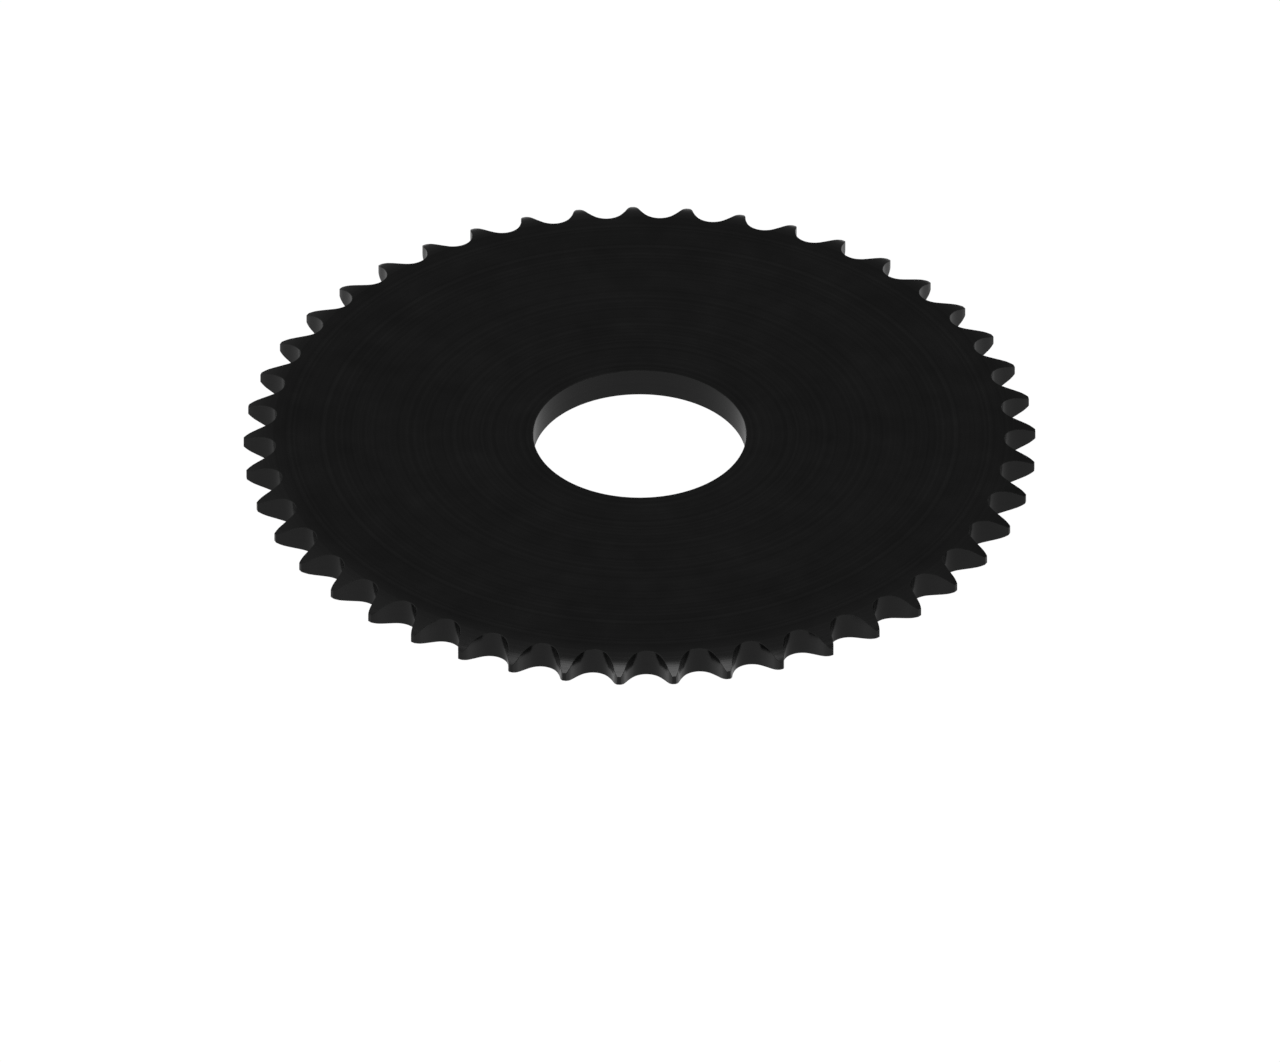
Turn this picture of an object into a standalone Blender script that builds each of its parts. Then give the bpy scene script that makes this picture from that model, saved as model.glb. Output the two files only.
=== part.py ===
"""Flat plate rear sprocket for 5/8 inch pitch roller chain, with a plain round bore.

It is one piece of steel. Lengths are in metres. The bore's axis is Z, the origin lies on it halfway
through the plate, and +X runs through the middle of one tooth.
"""

import math

import bmesh
import bpy

MM = 0.001
INCH = 0.0254

# The chain that the teeth are cut for
CHAIN_PITCH = 15.875 * MM
ROLLER_DIAMETER = 10.16 * MM

# The plate
TOOTH_COUNT = 45
PLATE_THICKNESS = 8.86 * MM
BORE_DIAMETER = 63.5 * MM
OUTSIDE_DIAMETER = 236.06 * MM

# The teeth thin towards their tips on both sides, along an arc that leaves the flat face without an edge
RELIEF_LENGTH = 11.3 * MM
TIP_THICKNESS = 2.74 * MM

# How finely the curves are stepped
SEAT_STEPS = 4
WORKING_STEPS = 2
TOPPING_STEPS = 3
STEPS_ACROSS_TOOTH = 2

WELD_DISTANCE = 0.001 * MM
SHARP_ANGLE = math.radians(35)

HALF_TOOTH = math.pi / TOOTH_COUNT
PITCH_RADIUS = CHAIN_PITCH / (2 * math.sin(HALF_TOOTH))
TIP_RADIUS = OUTSIDE_DIAMETER / 2
BORE_RADIUS = BORE_DIAMETER / 2
HALF_THICKNESS = PLATE_THICKNESS / 2


def from_gap_axis(angle):
    """Unit vector at an angle from the line that runs inwards down the middle of a tooth gap."""
    return math.sin(angle), -math.cos(angle)


def arc(centre, radius, start, end, steps):
    """Points along an arc, without its first point. Its angles are those of from_gap_axis."""
    angles = [start + (end - start) * step / steps for step in range(1, steps + 1)]
    directions = [from_gap_axis(angle) for angle in angles]
    return [(centre[0] + radius * x, centre[1] + radius * y) for x, y in directions]


def gap_side():
    """One side of a tooth gap in the standard roller chain form, from the gap's bottom to the tooth's tip.

    The gap's middle line is +Y here. A roller seat is followed by a working curve, a short straight and a
    topping curve, each tangent to the next. The numbers are those of the standard's formulas.
    """
    roller = (0.0, PITCH_RADIUS)
    seat_radius = (1.005 * ROLLER_DIAMETER + 0.003 * INCH) / 2
    seat_end = math.radians(55 - 60 / TOOTH_COUNT)
    working_end = seat_end + math.radians(18 - 56 / TOOTH_COUNT)
    seat_direction = from_gap_axis(seat_end)
    side_direction = from_gap_axis(working_end)

    working_offset = 0.8 * ROLLER_DIAMETER
    working_centre = [at - working_offset * along for at, along in zip(roller, seat_direction)]
    working_radius = working_offset + seat_radius

    topping_offset = 1.4 * ROLLER_DIAMETER
    topping_centre = (
        topping_offset * math.cos(HALF_TOOTH),
        PITCH_RADIUS - topping_offset * math.sin(HALF_TOOTH),
    )
    between = [b - c for b, c in zip(topping_centre, working_centre)]
    topping_radius = sum(a * b for a, b in zip(between, side_direction)) - working_radius
    topping_out = math.hypot(*topping_centre)
    spread = (TIP_RADIUS**2 - topping_out**2 - topping_radius**2) / (2 * topping_out * topping_radius)
    topping_end = math.acos(spread) - math.atan2(*topping_centre)

    points = [(0.0, PITCH_RADIUS - seat_radius)]
    points += arc(roller, seat_radius, 0.0, seat_end, SEAT_STEPS)
    points += arc(working_centre, working_radius, seat_end, working_end, WORKING_STEPS)
    points += arc(topping_centre, -topping_radius, working_end, working_end, 1)
    points += arc(topping_centre, -topping_radius, working_end, topping_end, TOPPING_STEPS)
    return points


def half_height(radius):
    """Half of the plate's thickness at a radius."""
    drop = HALF_THICKNESS - TIP_THICKNESS / 2
    arc_radius = (RELIEF_LENGTH**2 + drop**2) / (2 * drop)
    along = max(0.0, radius - (TIP_RADIUS - RELIEF_LENGTH))
    return HALF_THICKNESS - (arc_radius - math.sqrt(arc_radius**2 - along**2))


def tooth_rows():
    """(radius, half angle) of the rows that make up one tooth, from the bore to the tip."""
    inner = [BORE_RADIUS, TIP_RADIUS - RELIEF_LENGTH]
    rows = [(radius, HALF_TOOTH) for radius in inner]
    rows += [(math.hypot(x, y), HALF_TOOTH - math.atan2(x, y)) for x, y in gap_side()]
    return rows


def add_tooth(bm, middle):
    """One tooth with its share of the plate, open where the next tooth's share meets it."""
    upper, lower = [], []
    for radius, half_angle in tooth_rows():
        angles = [
            middle + half_angle * (2 * step / STEPS_ACROSS_TOOTH - 1)
            for step in range(STEPS_ACROSS_TOOTH + 1)
        ]
        height = half_height(radius)
        for row, z in ((upper, height), (lower, -height)):
            row.append([bm.verts.new((radius * math.cos(a), radius * math.sin(a), z)) for a in angles])

    for rows in (upper, lower):
        for inside, outside in zip(rows, rows[1:]):
            for step in range(STEPS_ACROSS_TOOTH):
                bm.faces.new((inside[step], outside[step], outside[step + 1], inside[step + 1]))
    for above, below in ((upper[0], lower[0]), (upper[-1], lower[-1])):
        for step in range(STEPS_ACROSS_TOOTH):
            bm.faces.new((above[step], above[step + 1], below[step + 1], below[step]))
    gap_bottom = len(upper) - len(gap_side())
    for side in (0, -1):
        above = [row[side] for row in upper[gap_bottom:]]
        below = [row[side] for row in lower[gap_bottom:]]
        for step in range(len(above) - 1):
            bm.faces.new((above[step], above[step + 1], below[step + 1], below[step]))


def black_steel():
    """Steel with a thin black oxide finish."""
    material = bpy.data.materials.new("black_steel")
    material.use_nodes = True
    shader = material.node_tree.nodes["Principled BSDF"]
    shader.inputs["Base Color"].default_value = (0.009, 0.009, 0.009, 1.0)
    shader.inputs["Metallic"].default_value = 0.0
    shader.inputs["Roughness"].default_value = 0.35
    return material


def sprocket_plate():
    mesh = bpy.data.meshes.new("sprocket_plate")
    bm = bmesh.new()
    for tooth in range(TOOTH_COUNT):
        add_tooth(bm, 2 * HALF_TOOTH * tooth)
    bmesh.ops.remove_doubles(bm, verts=bm.verts, dist=WELD_DISTANCE)
    bmesh.ops.recalc_face_normals(bm, faces=bm.faces)
    bm.to_mesh(mesh)
    bm.free()
    mesh.shade_smooth()
    mesh.set_sharp_from_angle(angle=SHARP_ANGLE)
    mesh.materials.append(black_steel())
    plate = bpy.data.objects.new("sprocket_plate", mesh)
    bpy.context.collection.objects.link(plate)
    return plate


for leftover in list(bpy.data.objects):
    bpy.data.objects.remove(leftover)
sprocket_plate()
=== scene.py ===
import math

import bmesh
import bpy
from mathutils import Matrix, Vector
from mathutils.kdtree import KDTree


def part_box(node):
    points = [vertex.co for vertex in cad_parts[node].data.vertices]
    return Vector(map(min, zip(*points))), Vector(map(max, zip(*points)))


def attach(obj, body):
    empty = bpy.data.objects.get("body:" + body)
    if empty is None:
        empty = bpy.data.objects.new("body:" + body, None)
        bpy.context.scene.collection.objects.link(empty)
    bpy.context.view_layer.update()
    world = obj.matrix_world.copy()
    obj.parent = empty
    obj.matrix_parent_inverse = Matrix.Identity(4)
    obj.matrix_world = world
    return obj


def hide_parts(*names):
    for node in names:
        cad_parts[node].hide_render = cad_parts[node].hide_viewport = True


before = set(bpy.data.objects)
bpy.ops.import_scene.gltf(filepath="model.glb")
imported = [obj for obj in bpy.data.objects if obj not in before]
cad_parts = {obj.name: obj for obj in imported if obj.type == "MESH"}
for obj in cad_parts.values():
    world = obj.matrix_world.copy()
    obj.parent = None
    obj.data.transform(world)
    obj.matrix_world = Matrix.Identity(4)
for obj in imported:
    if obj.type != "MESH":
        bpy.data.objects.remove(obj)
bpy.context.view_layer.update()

plate_low, plate_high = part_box("sprocket_plate")

# A rear sprocket: the CAD plate's form in finer steps, with its edges broken, under a black oxide finish.
# Lengths are in metres. The bore's axis is Z, and the origin lies on it halfway through the plate.

MM = 0.001
INCH = 0.0254

# The sprocket. Its thickness and its tip radius are the frame's; one tooth points along +X.
HALF_THICKNESS = plate_high.z
TIP_RADIUS = plate_high.x
TOOTH_COUNT = 45
CHAIN_PITCH = 15.875 * MM
ROLLER_DIAMETER = 10.16 * MM
BORE_RADIUS = 31.75 * MM
RELIEF_LENGTH = 11.3 * MM
TIP_THICKNESS = 2.74 * MM
EDGE_BREAK = 0.1 * MM

# How finely the surface is stepped
SEAT_STEPS = 12
WORKING_STEPS = 5
STRAIGHT_STEPS = 1
TOPPING_STEPS = 10
STEPS_ACROSS_TOOTH = 8
WEB_STEPS = 6
RELIEF_STEPS = 3
WELD_DISTANCE = 0.001 * MM
SHARP_ANGLE = math.radians(12)

HALF_TOOTH = math.pi / TOOTH_COUNT
PITCH_RADIUS = CHAIN_PITCH / (2 * math.sin(HALF_TOOTH))

# The camera: a parallel projection, from nearly in front and above. The middle of the picture lies to the
# right of the sprocket's centre, and below it.
CAMERA_AZIMUTH = math.radians(-3)
CAMERA_ELEVATION = math.radians(36.466)
PICTURE_WIDTH = 0.38137
PICTURE_CENTRE_BELOW = 25.33 * MM
PICTURE_CENTRE_RIGHT = 0.085 * MM
CAMERA_DISTANCE = 1.5

# The studio: how bright each part of it is, into the camera and on the sprocket
WHITE = (1, 1, 1, 1)
FLOOR_RADIUS = 12.0
FLOOR_SIDES = 64
WHITE_IN_VIEW = 1.02
FLOOR_ON_PART = 0.385
DIM_FLOOR_ON_PART = 0.1
DIM_FLOOR_STARTS, DIM_FLOOR_FULL = 0.14, 0.17
WALLS_ON_PART = 0.085
CEILING_ON_PART = 0.25
CEILING_RIM = math.radians(60)
LEFT_SIDE_ON_PART = 0.24
SOFTBOX_ON_PART = 2.9
SOFTBOX_RIM = math.radians(19.5)

# The finish. Each layer is a noise from 0 to 1, which adds these amounts to the colour, roughness and height.
INDEX_OF_REFRACTION = 1.5
NOISE_LOW, NOISE_HIGH = 0.25, 0.75
CLOUD_SIZE = 11 * MM
PATCH_SIZE = 3 * MM
RING_PITCH = 1.3 * MM
GRAIN_SIZE = 0.35 * MM
CLOUD_DETAIL, RING_DETAIL, FINE_DETAIL = 5, 3, 2
OXIDE_COLOR, CLOUD_COLOR, RING_COLOR = 0.0016, 0.005, 0.0038
OXIDE_ROUGHNESS, CLOUD_ROUGHNESS, RING_ROUGHNESS, GRAIN_ROUGHNESS = 0.044, 0.1, 0.125, 0.038
RING_DEPTH = 0.009 * MM
GRAIN_DEPTH = 0.0015 * MM

# The rings go by the radius on the faces and by the height on the walls, told apart by the normal's Z
WALL_NORMAL, FACE_NORMAL = 0.6, 0.8

# The oxide is rubbed thin along the edges, unevenly: from none left to all left
RUBBED_WIDTH = 0.3 * MM
RUBBED_COLOR = 0.025
GRAIN_IN_RUB, PATCHES_IN_RUB = 0.5, 0.6
RUB_STARTS, RUB_ENDS = 0.45, 1.05


# ---------------------------------------------------------------- camera

def look_from(azimuth, elevation):
    """Unit vector from the sprocket to the camera. Azimuth 0 looks along +Y."""
    level = math.cos(elevation)
    return Vector((math.sin(azimuth) * level, -math.cos(azimuth) * level, math.sin(elevation)))


def make_camera():
    data = bpy.data.cameras.new("camera")
    data.type = "ORTHO"
    data.ortho_scale = PICTURE_WIDTH
    camera = bpy.data.objects.new("camera", data)
    bpy.context.scene.collection.objects.link(camera)
    back = look_from(CAMERA_AZIMUTH, CAMERA_ELEVATION)
    turn = (-back).to_track_quat("-Z", "Y")
    right, up = turn @ Vector((1, 0, 0)), turn @ Vector((0, 1, 0))
    camera.rotation_mode = "QUATERNION"
    camera.rotation_quaternion = turn
    camera.location = (
        back * CAMERA_DISTANCE + right * PICTURE_CENTRE_RIGHT - up * PICTURE_CENTRE_BELOW
    )
    bpy.context.scene.camera = camera


# ---------------------------------------------------------------- node helpers

def new_node(tree, kind, inputs=None, **settings):
    """A shader node. Its inputs are values, or the sockets to link from."""
    node = tree.nodes.new(kind)
    for name, value in settings.items():
        setattr(node, name, value)
    for name, value in (inputs or {}).items():
        if isinstance(value, bpy.types.NodeSocket):
            tree.links.new(value, node.inputs[name])
        else:
            node.inputs[name].default_value = value
    return node


def fade(tree, value, start, end, smooth=False):
    """0 where value is start, 1 where it is end, and clamped outside them."""
    inputs = {"Value": value, "From Min": start, "From Max": end}
    kind = "SMOOTHSTEP" if smooth else "LINEAR"
    return new_node(tree, "ShaderNodeMapRange", inputs, interpolation_type=kind).outputs["Result"]


def mixed(tree, factor, first, second):
    """first where the factor is 0, and second where it is 1."""
    inputs = {"Value": factor, "To Min": first, "To Max": second}
    return new_node(tree, "ShaderNodeMapRange", inputs).outputs["Result"]


def layered(tree, base, *layers):
    """base with layers on it, each given as the amount that it adds where it is 1, and its socket."""
    for amount, layer in layers:
        inputs = {0: layer, 1: amount, 2: base}
        base = new_node(tree, "ShaderNodeMath", inputs, operation="MULTIPLY_ADD").outputs["Value"]
    return base


# ---------------------------------------------------------------- studio

def white_in_view(tree, on_part):
    """The strength of a light that the camera sees as white, and that shines on the part less."""
    in_view = new_node(tree, "ShaderNodeLightPath").outputs["Is Camera Ray"]
    return mixed(tree, in_view, on_part, WHITE_IN_VIEW)


def make_floor():
    """A luminous table top, on which nothing casts a shadow. Its light on the part fades outwards."""
    mesh = bpy.data.meshes.new("floor")
    bm = bmesh.new()
    bmesh.ops.create_circle(bm, cap_ends=True, radius=FLOOR_RADIUS, segments=FLOOR_SIDES)
    bm.to_mesh(mesh)
    bm.free()
    floor = bpy.data.objects.new("floor", mesh)
    floor.location.z = plate_low.z
    bpy.context.scene.collection.objects.link(floor)
    material = bpy.data.materials.new("light_table")
    material.use_nodes = True
    tree = material.node_tree
    tree.nodes.clear()
    position = new_node(tree, "ShaderNodeTexCoord").outputs["Object"]
    out = new_node(tree, "ShaderNodeVectorMath", {0: position}, operation="LENGTH").outputs["Value"]
    dimmed = fade(tree, out, DIM_FLOOR_STARTS, DIM_FLOOR_FULL)
    on_part = mixed(tree, dimmed, FLOOR_ON_PART, DIM_FLOOR_ON_PART)
    light = {"Color": WHITE, "Strength": white_in_view(tree, on_part)}
    shine = new_node(tree, "ShaderNodeEmission", light)
    new_node(tree, "ShaderNodeOutputMaterial", {"Surface": shine.outputs["Emission"]})
    mesh.materials.append(material)


def make_room():
    """Plain walls, lighter to the left and towards the ceiling, with a broad round softbox straight above."""
    world = bpy.data.worlds.new("room")
    world.use_nodes = True
    tree = world.node_tree
    tree.nodes.clear()
    direction = new_node(tree, "ShaderNodeTexCoord").outputs["Generated"]
    axes = new_node(tree, "ShaderNodeSeparateXYZ", {"Vector": direction}).outputs
    on_part = layered(
        tree,
        WALLS_ON_PART,
        (CEILING_ON_PART - WALLS_ON_PART, fade(tree, axes["Z"], math.cos(CEILING_RIM), 1, smooth=True)),
        (SOFTBOX_ON_PART, fade(tree, axes["Z"], math.cos(SOFTBOX_RIM), 1, smooth=True)),
        (LEFT_SIDE_ON_PART, fade(tree, axes["X"], 0, -1)),
    )
    light = {"Color": WHITE, "Strength": white_in_view(tree, on_part)}
    shine = new_node(tree, "ShaderNodeBackground", light)
    new_node(tree, "ShaderNodeOutputWorld", {"Surface": shine.outputs["Background"]})
    bpy.context.scene.world = world


# ---------------------------------------------------------------- shape

def from_gap_axis(angle):
    """Unit vector at an angle from the line that runs inwards down the middle of a tooth gap."""
    return math.sin(angle), -math.cos(angle)


def arc(centre, radius, start, end, steps):
    """Points along an arc, without its first point. Its angles are those of from_gap_axis."""
    angles = [start + (end - start) * step / steps for step in range(1, steps + 1)]
    directions = [from_gap_axis(angle) for angle in angles]
    return [(centre[0] + radius * x, centre[1] + radius * y) for x, y in directions]


def gap_side(inset):
    """One side of a tooth gap in the standard roller chain form, from the gap's bottom to the tooth's tip.

    The gap's middle line is +Y here. A roller seat is followed by a working curve, a short straight and a
    topping curve, each tangent to the next. The numbers are those of the standard's formulas. The whole
    line is moved into the steel by inset.
    """
    roller = (0.0, PITCH_RADIUS)
    seat_radius = (1.005 * ROLLER_DIAMETER + 0.003 * INCH) / 2
    seat_end = math.radians(55 - 60 / TOOTH_COUNT)
    working_end = seat_end + math.radians(18 - 56 / TOOTH_COUNT)
    seat_direction = from_gap_axis(seat_end)
    side_direction = from_gap_axis(working_end)

    working_offset = 0.8 * ROLLER_DIAMETER
    working_centre = [at - working_offset * along for at, along in zip(roller, seat_direction)]
    working_radius = working_offset + seat_radius

    topping_offset = 1.4 * ROLLER_DIAMETER
    topping_centre = (
        topping_offset * math.cos(HALF_TOOTH),
        PITCH_RADIUS - topping_offset * math.sin(HALF_TOOTH),
    )
    between = [b - c for b, c in zip(topping_centre, working_centre)]
    topping_radius = sum(a * b for a, b in zip(between, side_direction)) - working_radius - inset
    topping_out = math.hypot(*topping_centre)
    tip = TIP_RADIUS - inset
    spread = (tip**2 - topping_out**2 - topping_radius**2) / (2 * topping_out * topping_radius)
    topping_end = math.acos(spread) - math.atan2(*topping_centre)

    seat_radius += inset
    working_radius += inset
    points = [(0.0, PITCH_RADIUS - seat_radius)]
    points += arc(roller, seat_radius, 0.0, seat_end, SEAT_STEPS)
    points += arc(working_centre, working_radius, seat_end, working_end, WORKING_STEPS)
    points += arc(topping_centre, -topping_radius, working_end, working_end, STRAIGHT_STEPS)
    points += arc(topping_centre, -topping_radius, working_end, topping_end, TOPPING_STEPS)
    return points


def tooth_rows(inset):
    """(radius, half angle) of one tooth at each point of its side, from the gap's bottom to the tip."""
    return [(math.hypot(x, y), HALF_TOOTH - math.atan2(x, y)) for x, y in gap_side(inset)]


def half_height(radius):
    """Half of the plate's thickness at a radius."""
    drop = HALF_THICKNESS - TIP_THICKNESS / 2
    arc_radius = (RELIEF_LENGTH**2 + drop**2) / (2 * drop)
    along = max(0.0, radius - (TIP_RADIUS - RELIEF_LENGTH))
    return HALF_THICKNESS - (arc_radius - math.sqrt(arc_radius**2 - along**2))


def spaced(start, end, steps):
    return [start + (end - start) * step / steps for step in range(steps + 1)]


def add_strip(bm, first, second):
    """Faces between two lines of points with the same number of points."""
    for step in range(len(first) - 1):
        bm.faces.new((first[step], first[step + 1], second[step + 1], second[step]))


def add_line(bm, polar_points):
    return [bm.verts.new((r * math.cos(a), r * math.sin(a), z)) for r, a, z in polar_points]


def across(middle, half_angle):
    return spaced(middle - half_angle, middle + half_angle, STEPS_ACROSS_TOOTH)


def outline(middle, inset, height):
    """A tooth's outline from gap to gap over its tip, as (radius, angle, z). height gives z from a radius."""
    rows = tooth_rows(inset)
    tip, tip_half_angle = rows[-1]
    line = [(radius, middle - half_angle) for radius, half_angle in rows[:-1]]
    line += [(tip, angle) for angle in across(middle, tip_half_angle)]
    line += [(radius, middle + half_angle) for radius, half_angle in reversed(rows[:-1])]
    return [(radius, angle, height(radius)) for radius, angle in line]


def add_face(bm, middle, side):
    """One tooth's share of the upper (side 1) or lower (side -1) face, from the bore to the tip."""
    relief_start = TIP_RADIUS - RELIEF_LENGTH
    rows = tooth_rows(EDGE_BREAK)
    gap_bottom = rows[0][0]
    inner = spaced(BORE_RADIUS + EDGE_BREAK, relief_start, WEB_STEPS)
    inner += spaced(relief_start, gap_bottom, RELIEF_STEPS)[1:-1]
    rows = [(radius, HALF_TOOTH) for radius in inner] + rows
    lines = [
        add_line(bm, [(radius, angle, side * half_height(radius)) for angle in across(middle, half_angle)])
        for radius, half_angle in rows
    ]
    for inside, outside in zip(lines, lines[1:]):
        add_strip(bm, inside, outside)


def add_wall(bm, levels):
    """Faces down a wall, between lines of points. Returns the points of its edges, above and below."""
    lines = [add_line(bm, level) for level in levels]
    for above, below in zip(lines, lines[1:]):
        add_strip(bm, above, below)
    return [vertex.co.copy() for line in lines[:2] + lines[-2:] for vertex in line]


def add_rim(bm, middle):
    """The walls of one tooth, with a small edge break above and below them. Returns its edges."""
    def edge(radius):
        return half_height(radius) - EDGE_BREAK

    levels = [
        outline(middle, EDGE_BREAK, half_height),
        outline(middle, 0.0, edge),
        outline(middle, 0.0, lambda radius: 0.0),
        outline(middle, 0.0, lambda radius: -edge(radius)),
        outline(middle, EDGE_BREAK, lambda radius: -half_height(radius)),
    ]
    return add_wall(bm, levels)


def add_bore(bm, middle):
    """One tooth's share of the bore wall, with a small edge break above and below it. Returns its edges."""
    edge = HALF_THICKNESS - EDGE_BREAK
    levels = [
        (BORE_RADIUS + EDGE_BREAK, HALF_THICKNESS),
        (BORE_RADIUS, edge),
        (BORE_RADIUS, 0.0),
        (BORE_RADIUS, -edge),
        (BORE_RADIUS + EDGE_BREAK, -HALF_THICKNESS),
    ]
    angles = across(middle, HALF_TOOTH)
    return add_wall(bm, [[(radius, angle, z) for angle in angles] for radius, z in levels])


def measure_from_edges(bm, edge_points):
    """Stores each vertex's distance to the nearest edge, which the material reads."""
    edges = KDTree(len(edge_points))
    for index, point in enumerate(edge_points):
        edges.insert(point, index)
    edges.balance()
    distance = bm.verts.layers.float.new("edge_distance")
    for vertex in bm.verts:
        vertex[distance] = edges.find(vertex.co)[2]


def make_sprocket():
    mesh = bpy.data.meshes.new("toothed_plate")
    bm = bmesh.new()
    edge_points = []
    for tooth in range(TOOTH_COUNT):
        middle = 2 * HALF_TOOTH * tooth
        add_face(bm, middle, 1)
        add_face(bm, middle, -1)
        edge_points += add_rim(bm, middle) + add_bore(bm, middle)
    bmesh.ops.remove_doubles(bm, verts=bm.verts, dist=WELD_DISTANCE)
    bmesh.ops.recalc_face_normals(bm, faces=bm.faces)
    measure_from_edges(bm, edge_points)
    bm.to_mesh(mesh)
    bm.free()
    mesh.shade_smooth()
    mesh.set_sharp_from_angle(angle=SHARP_ANGLE)
    mesh.materials.append(black_steel())
    plate = bpy.data.objects.new("toothed_plate", mesh)
    bpy.context.scene.collection.objects.link(plate)
    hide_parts("sprocket_plate")
    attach(plate, "root")


# ---------------------------------------------------------------- material

def noise(tree, size, detail, dimensions="3D", **coordinate):
    """Noise from 0 to 1 whose largest lumps are about size apart, at a Vector or along W."""
    inputs = {"Scale": 1 / size, "Detail": detail, **coordinate}
    node = new_node(tree, "ShaderNodeTexNoise", inputs, noise_dimensions=dimensions)
    return fade(tree, node.outputs["Fac"], NOISE_LOW, NOISE_HIGH)


def distance_across_rings(tree, coordinates):
    """The radius on the flat faces, and the height on the walls."""
    position = coordinates["Object"]
    in_plan = new_node(tree, "ShaderNodeVectorMath", {0: position, 1: (1, 1, 0)}, operation="MULTIPLY")
    radius = new_node(tree, "ShaderNodeVectorMath", {0: in_plan.outputs["Vector"]}, operation="LENGTH")
    height = new_node(tree, "ShaderNodeSeparateXYZ", {"Vector": position})
    normal = new_node(tree, "ShaderNodeSeparateXYZ", {"Vector": coordinates["Normal"]})
    flatness = new_node(tree, "ShaderNodeMath", {0: normal.outputs["Z"]}, operation="ABSOLUTE")
    on_face = fade(tree, flatness.outputs["Value"], WALL_NORMAL, FACE_NORMAL)
    return mixed(tree, on_face, height.outputs["Z"], radius.outputs["Value"])


def black_steel():
    """Machined steel under a thin black oxide finish, turned in rings and rubbed along its edges."""
    material = bpy.data.materials.new("black_steel")
    material.use_nodes = True
    tree = material.node_tree
    coordinates = new_node(tree, "ShaderNodeTexCoord").outputs
    position = coordinates["Object"]
    clouds = noise(tree, CLOUD_SIZE, CLOUD_DETAIL, Vector=position)
    patches = noise(tree, PATCH_SIZE, FINE_DETAIL, Vector=position)
    grain = noise(tree, GRAIN_SIZE, FINE_DETAIL, Vector=position)
    rings = noise(tree, RING_PITCH, RING_DETAIL, "1D", W=distance_across_rings(tree, coordinates))

    edge_distance = new_node(tree, "ShaderNodeAttribute", attribute_name="edge_distance").outputs["Fac"]
    from_edge = fade(tree, edge_distance, 0, RUBBED_WIDTH)
    left_on = layered(tree, from_edge, (GRAIN_IN_RUB, grain), (PATCHES_IN_RUB, patches))
    oxide = layered(tree, OXIDE_COLOR, (CLOUD_COLOR, clouds), (RING_COLOR, rings))
    color = mixed(tree, fade(tree, left_on, RUB_STARTS, RUB_ENDS), RUBBED_COLOR, oxide)
    roughness = layered(
        tree,
        OXIDE_ROUGHNESS,
        (CLOUD_ROUGHNESS, clouds),
        (RING_ROUGHNESS, rings),
        (GRAIN_ROUGHNESS, grain),
    )
    relief = layered(tree, 0, (RING_DEPTH, rings), (GRAIN_DEPTH, grain))
    bump = new_node(tree, "ShaderNodeBump", {"Height": relief, "Distance": 1})

    shader = tree.nodes["Principled BSDF"]
    shader.inputs["IOR"].default_value = INDEX_OF_REFRACTION
    tree.links.new(color, shader.inputs["Base Color"])
    tree.links.new(roughness, shader.inputs["Roughness"])
    tree.links.new(bump.outputs["Normal"], shader.inputs["Normal"])
    return material


make_camera()
make_floor()
make_room()
make_sprocket()
bpy.context.scene.view_settings.view_transform = "Standard"
